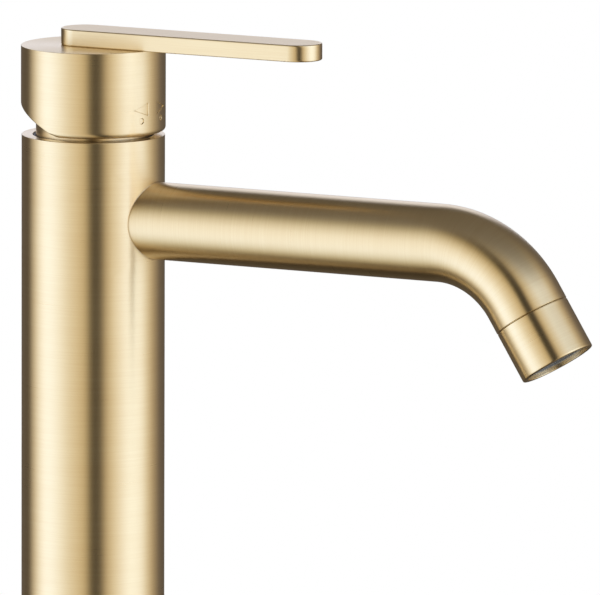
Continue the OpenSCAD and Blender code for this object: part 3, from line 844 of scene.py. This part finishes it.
@dataclass
class Spout(Part):
    """Bent pipe with its saddle root and the nozzle sleeve at its end."""

    straight: float = 0.1224  # length of the centre line before the bend, from the column's axis
    bend_radius: float = 0.0345  # radius of the bend's centre line
    bend: float = math.radians(57.7)  # angle of the bend
    tail: float = 0.0054  # length of the pipe after the bend
    bore: float = 0.01015  # radius of the bore
    saddle: float = 0.0202  # distance of the pipe's hidden end from the column's axis
    root_run: float = 0.032  # length of the grid that follows the column's roundness
    groove_depth: float = 0.0002  # depth of the seam at the column
    groove_width: float = 0.0003  # width of that seam
    seam: float = 0.00015  # width of the seam before the nozzle
    seam_edge: float = 0.00025  # radius of that seam's edges
    nozzle: float = 0.017  # length of the nozzle sleeve
    mouth_edge: float = 0.00045  # radius of the nozzle's outer edge
    chamber: float = 0.0104  # radius of the aerator's chamber
    seat: float = 0.007  # height of the chamber's floor above the seam
    way: float = 0.008  # radius of the water way through the nozzle's spigot
    spigot: float = 0.0055  # length of the spigot
    # Depth of the O-ring's groove and its two distances from the seam.
    ring_groove: tuple[float, float, float] = (0.0011, -0.0043, -0.0029)

    def __post_init__(self) -> None:
        """Works out the pipe's radius, the height of its axis and where its bend and it end."""
        self.radius = outer_radius("spout_pipe")
        self.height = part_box("spout_pipe")[1].z - self.radius
        self.bend_end = self.straight + self.bend_radius * self.bend
        self.end = self.bend_end + self.tail

    def build(self) -> None:
        """Builds the pipe and the nozzle, and dresses what they hold."""
        self.pipe()
        self.nozzle_sleeve()
        self.dress("aerator_body", "aerator_honeycomb", "aerator_screen", "flow_regulator")
        self.dress("nozzle_o_ring", "aerator_washer")

    def sweep(self, run: Array, reach: Array) -> Array:
        """Points of a round section carried along the centre line.

        The line is straight, then an arc of radius R, then straight again. With the arc's angle
        t = clip((s - straight) / R, 0, bend), the section's centre is
        (s0 + R sin t + s1 cos t, 0, z - R (1 - cos t) - s1 sin t), where s0 and s1 are the
        lengths run before and after the arc, and the section spans (sin t, 0, cos t) and Y.

        Args:
            run: Length along the line, rows by columns; columns go round the section.
            reach: Distance from the line.

        Returns:
            The points.
        """
        arc = np.clip((run - self.straight) / self.bend_radius, 0, self.bend)
        before, after = np.minimum(run, self.straight), np.maximum(run - self.bend_end, 0)
        side, up = reach * np.cos(SECTION), reach * np.sin(SECTION)
        x = before + self.bend_radius * np.sin(arc) + after * np.cos(arc) + up * np.sin(arc)
        z = -self.bend_radius * (1 - np.cos(arc)) - after * np.sin(arc) + up * np.cos(arc)
        return np.stack([x, side, z + self.height], -1)

    def coat(self, run: Array, reach: Array, across: Array) -> Patch:
        """Swept points with brush lines round the pipe.

        Args:
            run: Length along the centre line, rows by columns.
            reach: Distance from it.
            across: Coordinate across the brush lines.

        Returns:
            The patch.
        """
        turn = SECTION + 0 * run
        brush = ring_points(self.radius, turn, across + 2.0)[..., [2, 0, 1]]
        return Patch(self.sweep(run, reach), brush, np.stack([across, turn * self.radius], -1))

    def pipe(self) -> None:
        """Makes the pipe; its root follows the column: x = sqrt(R^2 - y^2) round it."""
        side = self.radius * np.cos(SECTION)
        root = np.sqrt(self.saddle**2 - side**2)
        wall = np.sqrt(outer_radius("column_tube") ** 2 - side**2)
        seam = wall + self.groove_width
        share = ladder(0.0, (0.02, 1), (1.0, 6))[:, None]
        run_in = (seam + 0.00015) * (1 - share) + self.root_run * share
        groove = np.stack([root, wall - 0.0001, wall + 0.00002, seam])
        legs = (self.straight, 8), (self.bend_end, 40), (self.end - self.seam_edge, 3)
        beyond = ladder(self.root_run, *legs, (self.end, 1))[1:, None] + 0 * side
        out = np.concatenate([groove, run_in, beyond])
        reach = np.full(out.shape, self.radius)
        reach[2:4] -= self.groove_depth
        reach[-1] -= self.seam_edge
        bore = np.full(out.shape, self.bore)
        skin = Skin("spout_pipe_brushed")
        skin.add(self.coat(out, reach, out)).add(self.coat(out, bore, out))
        for end in (0, -1):
            rims = np.stack([reach[end], bore[end]])
            skin.add(self.coat(np.stack([out[end]] * 2), rims, rims))
        self.stand_for(skin, "spout_pipe")

    def nozzle_sleeve(self) -> None:
        """Turns the sleeve about the flow, with a fine rounded seam and the aerator's chamber."""
        outer, tube = self.radius - FIT, self.bore - FIT
        depth, groove_low, groove_high = self.ring_groove
        inside = [(self.way, -self.spigot, 0), (tube, -self.spigot, 0.0003)]
        inside += [(tube, groove_low, 0), (tube - depth, groove_low, 0)]
        inside += [(tube - depth, groove_high, 0), (tube, groove_high, 0), (tube, self.seam, 0)]
        sleeve = [(outer, self.seam, self.seam_edge), (outer, self.nozzle, self.mouth_edge)]
        sleeve += [(self.chamber, self.nozzle, 0.0002), (self.chamber, self.seat, 0)]
        profile = rounded(inside + sleeve + [(self.way, self.seat, 0)], steps=6)
        line = np.full((1, len(SECTION)), self.end)
        origin = self.sweep(line, 0 * line)[0, 0]
        flow = np.array([math.cos(self.bend), 0, -math.sin(self.bend)])
        across = np.array([0, 1.0, 0])
        axes = np.stack([np.cross(across, flow), across, flow])
        skin = Skin("nozzle_sleeve_brushed").add(revolve(profile, SECTION).moved(origin, axes))
        self.stand_for(skin, "nozzle_sleeve")


class Mark(Enum):
    """What an engraved temperature mark says: a filled pip for hot, a ring for cold.

    Its value is the side that its arrow points to.
    """

    HOT = -1
    COLD = 1


@dataclass
class Handle(Part):
    """Hub with its relief and engraved marks, and the lever blade on top."""

    body: str = "handle"
    bore: float = 0.020  # radius of the hub's bore
    roof: float = 0.004  # thickness of its top
    fillet: float = 0.0015  # radius of its lower edge in front
    cut_edge: float = 0.00025  # radius of its lower edge along the relief
    top_edge: float = 0.0003  # radius of its upper edge
    cut_angle: float = math.radians(24.8)  # slope of the relief under its rear
    cut_start: float = -0.001  # where the relief starts, along X
    boss: float = 0.008  # radius of the boss inside
    boss_drop: float = 0.0151  # how far the boss reaches below the top
    warp_top: float = 0.012  # height above which the wall's rows stay level
    access: float = 0.0026  # radius of the screw's access hole
    access_drop: float = 0.010  # depth of its axis below the top
    access_block: float = 0.004  # half size of the wall that is rebuilt round it
    dense: float = math.radians(32)  # half angle of the fine grid that takes the marks
    hot_angle: float = math.radians(-19.5)  # place of the hot mark round the hub
    cold_angle: float = math.radians(7)  # place of the cold mark round the hub
    mark_rise: float = 0.0085  # height of the arrows
    mark_band: tuple[float, float] = (0.0035, 0.0111)  # lowest and highest row of the fine grid
    pip_rise: float = 0.005  # height of the pips
    arrow: tuple[float, float] = (0.0059, 0.004)  # length and height of an arrow
    pip: float = 0.0009  # radius of a pip
    pip_ring: float = 0.0004  # width of the cold pip's ring
    engraving: float = 0.0003  # depth of the marks
    soft: float = 0.0001  # width over which the marks reach their depth
    lever_edge: float = 0.00045  # radius of the blade's edges
    cap_edge: float = 0.0003  # radius of the screw cap's edge

    def build(self) -> None:
        """Builds the hub and the lever, and dresses the screws and the stem."""
        self.hub()
        self.lever()
        self.dress("stem", "set_screw", "lever_screws")
        self.cap()

    def underside(self, x: Array, low: float) -> Array:
        """Height of the hub's lower edge: level in front, then rising at the relief's angle."""
        return low + np.maximum(self.cut_start - x, 0) * math.tan(self.cut_angle)

    def engraved(self, turn: Array, height: Array, radius: float, low: float) -> Array:
        """Depth of the temperature marks.

        Each arrow is where the largest of the distances to its three sides is below zero; each
        pip is where the distance to its centre is below its radius. The depth rises from nothing
        to full across such an edge.

        Args:
            turn: Angle of each point.
            height: Height of each point.
            radius: Radius of the hub.
            low: Height of the hub's lower edge.

        Returns:
            The depth at each point.
        """
        long, tall = self.arrow[0], self.arrow[1] / 2
        slope = math.hypot(long, tall)
        depth = np.zeros_like(turn)
        for mark in Mark:
            place = self.hot_angle if mark is Mark.HOT else self.cold_angle
            u = (turn - place) * radius * mark.value
            v = height - low - self.mark_rise
            edge = (np.abs(v) * long - (long / 2 - u) * tall) / slope
            inside = np.maximum(edge, -long / 2 - u)
            spot = np.hypot(u, height - low - self.pip_rise) - self.pip
            if mark is Mark.COLD:
                spot = np.maximum(spot, -self.pip_ring - spot)
            distance = np.minimum(inside, spot)
            depth = np.maximum(depth, smooth(0.5 - distance / self.soft))
        return depth * self.engraving

    def hub(self) -> None:
        """Makes the hub as grids of angle and height.

        Rows near the lower edge are squeezed to follow the relief: z = e + (z0 - e0) * (w - e) /
        (w - e0), where e is the edge's height at that angle, e0 the height in front and w the
        height above which rows stay level.
        """
        low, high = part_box("handle_hub")
        radius, base, top = outer_radius("handle_hub"), low.z, high.z
        warp, ceiling = base + self.warp_top, top - self.roof
        port = Port(top - self.access_drop, self.access, -1)
        span = math.asin(self.access_block / radius)
        cells, side, fine = 12, 56, 256  # cells beside the access hole and round the wall
        round_it = (span - math.pi, cells), (-self.dense, side), (self.dense, fine)
        angles = ladder(-math.pi - span, *round_it, (math.pi - span, side))
        edge_out = self.underside(radius * np.cos(angles), base)
        fillet = np.maximum(self.cut_edge, self.fillet - (edge_out - base))
        skin = Skin("handle_hub_brushed").add(self.lower_edge(angles, fillet, radius, base))

        block = port.height - self.access_block, port.height + self.access_block
        band = base + self.mark_band[0], base + self.mark_band[1]
        outside = (band[0], 3), (band[1], 76), (warp, 2), (block[0], 1)
        inside = (warp, 6), (block[0], 1)
        tall = ladder(base + self.fillet, *outside, (block[1], cells), (top - self.top_edge, 4))
        deep = ladder(base, *inside, (block[1], cells), (ceiling, 2))
        wall = self.wall(angles, tall, edge_out + fillet, warp, radius)
        turn = angles[:, None] + 0 * wall[..., 2]
        depth = self.engraved(turn, wall[..., 2], radius, base)
        carved = wall * np.stack([1 - depth / radius] * 2 + [np.ones_like(depth)], -1)
        edge_in = self.underside(self.bore * np.cos(angles), base)
        bore = self.wall(angles, deep, edge_in, warp, self.bore)
        rims = []
        both = (wall, carved, radius, outside), (bore, bore, self.bore, inside)
        for plain, shown, tube, legs in both:
            first = sum(steps for _, steps in legs)
            rows, columns = slice(0, cells), slice(first, first + cells)
            turn = angles[:, None] + 0 * shown[..., 2]
            collar = port.collar(plain, rows, columns, tube)
            skin.add(upright(shown, radius, turn), (rows, columns)).add(upright(collar, radius))
            rims.append(collar[0])
        skin.add(upright(np.stack(rims), radius))

        boss = top - self.boss_drop
        crown = [(radius, top - self.top_edge, 0), (radius, top, self.top_edge), (0.0, top, 0)]
        cavity = [(self.bore, ceiling, 0), (self.boss, ceiling, 0.0005)]
        cavity += [(self.boss, boss, 0.0003), (0.0, boss, 0)]
        for outline in (crown, cavity):
            skin.add(revolve(rounded(outline, closed=False), angles))
        self.stand_for(skin, "handle_hub")

    def lower_edge(self, angles: Array, fillet: Array, radius: float, base: float) -> Patch:
        """Underside and rounded lower edge of the hub's wall.

        At each angle it runs from the bore to the fillet's start, then round a quarter circle:
        (R - f (1 - sin a), e + f (1 - cos a)), where e is the underside's height there.

        Args:
            angles: Angles of the columns of points.
            fillet: Radius of the edge at each angle, f.
            radius: Radius of the wall, R.
            base: Height of the edge in front.

        Returns:
            The surface.
        """
        quarter = np.radians(np.linspace(0, 90, 8))
        shoulder = radius - fillet[:, None] * (1 - np.sin(quarter))
        share = np.linspace(0, 1, 4)[None, :-1]
        flat = self.bore + (shoulder[:, :1] - FIT - self.bore) * share
        reach = np.concatenate([flat, shoulder], 1)
        rise = np.concatenate([0 * flat, fillet[:, None] * (1 - np.cos(quarter))], 1)
        turn = angles[:, None] + 0 * reach
        points = ring_points(reach, turn, self.underside(reach * np.cos(turn), base) + rise)
        station = np.linspace(0, 0.004, reach.shape[1])[None] + 0 * reach
        brush = ring_points(radius, turn, station)[..., [2, 0, 1]]
        return Patch(points, brush, np.stack([station, turn * radius], -1))

    def wall(self, angles: Array, levels: Array, edge: Array, warp: float, tube: float) -> Array:
        """Upright wall whose lowest row follows an edge, as told in hub().

        Args:
            angles: Angles of the columns of points.
            levels: Heights of the rows where the edge is lowest.
            edge: Height of the lower edge at each angle.
            warp: Height above which rows stay level.
            tube: Radius of the wall.

        Returns:
            The points.
        """
        squeeze = (warp - edge) / (warp - levels[0])
        bent = edge[:, None] + (levels[None] - levels[0]) * squeeze[:, None]
        z = np.where(levels[None] < warp, bent, levels[None])
        return ring_points(tube, angles[:, None] + 0 * z, z)

    def lever(self) -> None:
        """Makes the blade with round ends.

        A row of points is the outline set in by d: two half circles of radius r - d about the
        blade's two end centres. Rows go up the rounded side; the faces close on the line between
        the two centres.
        """
        low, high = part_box("lever_blade")
        radius = (high.y - low.y) / 2
        rear, front = low.x + radius, high.x - radius
        arc = np.linspace(-math.pi / 2, math.pi / 2, 49)
        share = np.linspace(0, 1, 25)[1:-1]
        side = 0 * share
        turns = [arc, side + math.pi / 2, arc + math.pi, side + 1.5 * math.pi, [1.5 * math.pi]]
        ends = [0 * arc, share, 0 * arc + 1, 1 - share, [0.0]]
        turn = np.concatenate(turns)[:, None]
        middle = front + (rear - front) * np.concatenate(ends)[:, None]
        edge = self.lever_edge
        corners = [(0.0, low.z, 0), (radius, low.z, edge), (radius, high.z, edge), (0.0, high.z, 0)]
        outline = rounded(corners, closed=False, steps=6)
        reach = outline[None, :, 0]
        x, y = middle + reach * np.cos(turn), reach * np.sin(turn)
        points = np.stack([x, y, outline[None, :, 1] + 0 * x], -1)
        rim = lengths(points[:, len(outline) // 2])[:, None] + 0 * x
        up = lengths(outline)[None] + 0 * x
        brush, uv = np.stack([up, rim, 0 * up], -1), np.stack([up, rim], -1)
        skin = Skin("lever_blade_brushed")
        skin.add(Patch(points[:, 1:-1], brush[:, 1:-1], uv[:, 1:-1]))
        for face, lift in ((slice(0, 2), 0.0), (slice(-2, None), 1.0)):
            flat = points[:, face]
            brush = np.stack([flat[..., 1] + lift, flat[..., 0], 0 * flat[..., 0]], -1)
            skin.add(Patch(flat, brush, flat[..., [1, 0]]))
        self.stand_for(skin, "lever_blade")

    def cap(self) -> None:
        """Makes the round plug in the rear access hole, flush with the hub and softly edged.

        Its face lies on the hub's own cylinder, x = -sqrt(R^2 - y^2), and drops towards its edge.
        """
        low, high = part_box("screw_cap")
        radius, middle = (high.z - low.z) / 2, (high.z + low.z) / 2
        shell, edge = -low.x, self.cap_edge
        round_off = np.radians([30, 60, 90])
        flat = np.linspace(0, radius - edge, 8)
        reach = np.concatenate([flat, radius - edge * (1 - np.sin(round_off))])
        drop = np.concatenate([0 * flat, edge * (1 - np.cos(round_off))])
        turn, r = np.meshgrid(np.linspace(-math.pi, math.pi, 65), reach, indexing="ij")
        y = r * np.cos(turn)
        face = np.stack([drop - np.sqrt(shell**2 - y**2), y, middle + r * np.sin(turn)], -1)
        back = face.copy()
        back[..., 0] = high.x
        side = np.stack([face[:, -1], back[:, -1]], 1)
        skin = Skin("screw_cap_domed")
        for points in (face, side, back):
            skin.add(upright(points, shell))
        self.stand_for(skin, "screw_cap")


class Works(Part):
    """Valve body, cartridge and seals: CAD meshes that keep their shape."""

    def build(self) -> None:
        """Dresses every node that no piece stands for yet."""
        self.dress(*sorted(name for name, node in frame["nodes"].items() if not node.hide_render))


# ---------- studio ----------


@dataclass(frozen=True)
class Studio:
    """Camera, soft studio surround, overhead light and pale floor."""

    azimuth: float = 27.75  # camera's turn about the column, from -Y towards +X, in degrees
    elevation: float = 8.46  # camera's height angle, in degrees
    roll: float = 0.18  # camera's turn about its own line of sight, in degrees
    distance: float = 4.5  # camera's distance from its target
    lens: float = 859.7  # focal length in millimetres
    shift_right: float = 0.06496  # how far the target lies to the right of the column's axis
    below_rim: float = 0.05175  # how far the target lies below the column's rim
    lean: float = 0.45  # how far the room's panels lean over with height, in degrees per degree
    right_rise: float = 17.0  # how much higher the panels on the right reach, in degrees
    round_the_room: tuple[tuple[float, Colour], ...] = (  # colour by angle from the camera's side
        (-180, (0.070, 0.060, 0.050)), (-150, (0.070, 0.060, 0.050)), (-124, (0.045, 0.036, 0.026)),
        (-108, (0.400, 0.360, 0.290)), (-96, (0.630, 0.650, 0.660)), (-84, (0.745, 0.815, 0.955)),
        (-72, (0.715, 0.800, 0.950)), (-56, (0.655, 0.690, 0.730)), (-39, (0.528, 0.512, 0.457)),
        (-22, (0.462, 0.410, 0.310)), (-14, (0.420, 0.355, 0.235)), (-8.5, (0.360, 0.300, 0.190)),
        (-5, (0.020, 0.018, 0.016)), (4, (0.016, 0.016, 0.016)), (14, (0.018, 0.017, 0.014)),
        (19, (0.263, 0.211, 0.136)), (24, (0.404, 0.334, 0.221)), (30, (0.489, 0.446, 0.348)),
        (40, (0.583, 0.569, 0.517)), (50, (0.677, 0.700, 0.743)), (62, (0.771, 0.851, 0.978)),
        (74, (0.743, 0.818, 0.931)), (85, (0.700, 0.743, 0.818)), (93, (0.592, 0.602, 0.592)),
        (101, (0.479, 0.446, 0.376)), (110, (0.352, 0.305, 0.230)), (118, (0.244, 0.207, 0.155)),
        (135, (0.100, 0.085, 0.075)), (152, (0.075, 0.065, 0.055)), (180, (0.070, 0.060, 0.050)),
    )
    up_the_wall: tuple[tuple[float, float], ...] = (  # brightness by height angle
        (-90, 0.09), (-82, 0.12), (-72, 0.27), (-60, 0.45), (-50, 0.62), (-41, 0.76), (-25, 0.95),
        (-10, 1.0), (6, 1.0), (21, 0.82), (36, 0.48), (51, 0.18), (61, 0.11), (90, 0.06),
    )
    back_wall: Colour = (0.56, 0.58, 0.68)  # colour of the bright wall straight behind the object
    ceiling: Colour = (0.085, 0.072, 0.055)  # colour overhead
    strength: float = 1.6  # brightness of the whole surround

    def build(self) -> None:
        """Builds everything that isn't part of the object."""
        bpy.context.scene.view_settings.view_transform = "Standard"
        self.camera()
        self.surround()
        self.light()
        self.floor()

    def heading(self) -> Vector:
        """Level direction from the object to the camera."""
        turn = math.radians(self.azimuth)
        return Vector((math.sin(turn), -math.cos(turn), 0))

    def camera(self) -> None:
        """Long lens at the camera's two angles."""
        ahead = self.heading()
        right = Vector((-ahead.y, ahead.x, 0))
        target = right * self.shift_right
        target.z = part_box("column_tube")[1].z - self.below_rim
        rise = math.radians(self.elevation)
        back = ahead * math.cos(rise) + Vector((0, 0, math.sin(rise)))
        data = bpy.data.cameras.new("camera")
        data.lens, data.sensor_width, data.clip_end = self.lens, 36.0, 30.0
        camera = bpy.data.objects.new("camera", data)
        camera.location = target + back * self.distance
        roll = Quaternion((0, 0, 1), math.radians(self.roll))
        camera.rotation_euler = ((-back).to_track_quat("-Z", "Y") @ roll).to_euler()
        bpy.context.scene.collection.objects.link(camera)
        bpy.context.scene.camera = camera

    def surround(self) -> None:
        """World: white to the camera, and a soft room of panels and dark gaps to the metal.

        The colour is a function of the angle round the room times one of the height angle, which
        gets warmer as it gets darker. The angle round the room is shifted by the lean times the
        height above the camera's mirrored direction, and less so on the right. The ceiling and
        the wall straight behind the object have colours of their own.
        """
        world = bpy.data.worlds.new("studio")
        bpy.context.scene.world = world
        world.use_nodes = True
        shade = Shade(world.node_tree)
        ray = shade.add("ShaderNodeTexCoord").outputs["Generated"]
        parts = shade.add("ShaderNodeSeparateXYZ", {}, {0: ray})
        x, y, z = (Value(shade, socket) for socket in parts.outputs)
        ahead = self.heading()
        turn = shade.math("ARCTAN2", ahead.x * y - ahead.y * x, ahead.x * x + ahead.y * y)
        height = shade.math("ARCSINE", z)
        upright_part = 1 - 0.8 * turn.rise(35 * DEGREE, 105 * DEGREE)
        leaning = turn + self.lean * upright_part * (height + self.elevation * DEGREE)
        room = self.ramp(shade, leaning / TURN + 0.5, self.round_the_room, 360)
        warm = [(at, (v, v**1.15, max(v**1.6, 0.6 * v))) for at, v in self.up_the_wall]
        raised = height - self.right_rise * DEGREE * leaning.rise(0, 30 * DEGREE)
        wall = self.ramp(shade, raised / math.pi + 0.5, warm, 180)
        around = shade.blend(1.0, room, wall, "MULTIPLY")
        above = height.rise(30 * DEGREE, 60 * DEGREE)
        behind = abs(turn).rise(162 * DEGREE, 170 * DEGREE)
        band = height.rise(2 * DEGREE, 7 * DEGREE) * height.rise(40 * DEGREE, 30 * DEGREE)
        seen = shade.blend(above, around, self.ceiling)
        seen = shade.blend(behind * band, seen, self.back_wall)
        inputs = {"Color": seen, "Strength": self.strength}
        room_light = shade.add("ShaderNodeBackground", {}, inputs).outputs[0]
        inputs = {"Color": (1, 1, 1, 1), "Strength": 1.0}
        white = shade.add("ShaderNodeBackground", {}, inputs).outputs[0]
        to_camera = shade.add("ShaderNodeLightPath").outputs["Is Camera Ray"]
        picked = shade.add("ShaderNodeMixShader", {}, {0: to_camera, 1: room_light, 2: white})
        shade.add("ShaderNodeOutputWorld", {}, {"Surface": picked.outputs[0]})

    def ramp(
        self, shade: Shade, place: Value, stops: Sequence[tuple[float, Colour]], span: float
    ) -> bpy.types.NodeSocket:
        """Reads a colour from stops given in degrees.

        Args:
            shade: The world's tree.
            place: Where it is read, 0 to 1 over the span.
            stops: Angles and colours; the angles are centred on 0.
            span: Degrees that the ramp covers.

        Returns:
            The colour's socket.
        """
        colours = tuple((angle / span + 0.5, (*colour, 1)) for angle, colour in stops)
        return shade.add("ShaderNodeValToRGB", {"stops": colours}, {0: place}).outputs[0]

    def light(self) -> None:
        """Overhead soft box that lights the floor and the plastics but isn't mirrored."""
        data = bpy.data.lights.new("soft_box", "AREA")
        data.size, data.energy = 0.9, 9.0
        lamp = bpy.data.objects.new("soft_box", data)
        place, target = Vector((0.1, -0.3, 1.2)), Vector((0.05, 0, 0.1))
        lamp.location = place
        lamp.rotation_euler = (target - place).to_track_quat("-Z", "Y").to_euler()
        lamp.visible_glossy = False
        bpy.context.scene.collection.objects.link(lamp)

    def floor(self) -> None:
        """Pale round floor under the shank."""
        radius, level = 0.5, CAD_BOX[0].z - 0.001
        turn = np.linspace(0, TURN, 96, endpoint=False)
        mesh = bpy.data.meshes.new("floor")
        points = ring_points(radius, turn, level + 0 * turn)
        mesh.from_pydata(points.tolist(), [], [list(range(len(points)))])
        pale, shaded = (0.84, 0.84, 0.83), (0.80, 0.80, 0.79)
        mesh.materials.append(Moulded("floor_pale", pale, shaded, 0.7, 0.05, 0.00002).make())
        floor = bpy.data.objects.new("floor", mesh)
        floor.visible_glossy = False
        bpy.context.scene.collection.objects.link(floor)


def main() -> None:
    """Builds the studio, then each sub-assembly in order."""
    logging.basicConfig(level=logging.INFO, format="%(message)s")
    Studio().build()
    finishes = {finish.slot: finish.make() for finish in FINISHES}
    for kind in (Foot, Column, Spout, Handle, Works):
        kind(finishes).build()
        LOG.info("%s is built", kind.__name__)


if __name__ == "__main__":
    main()
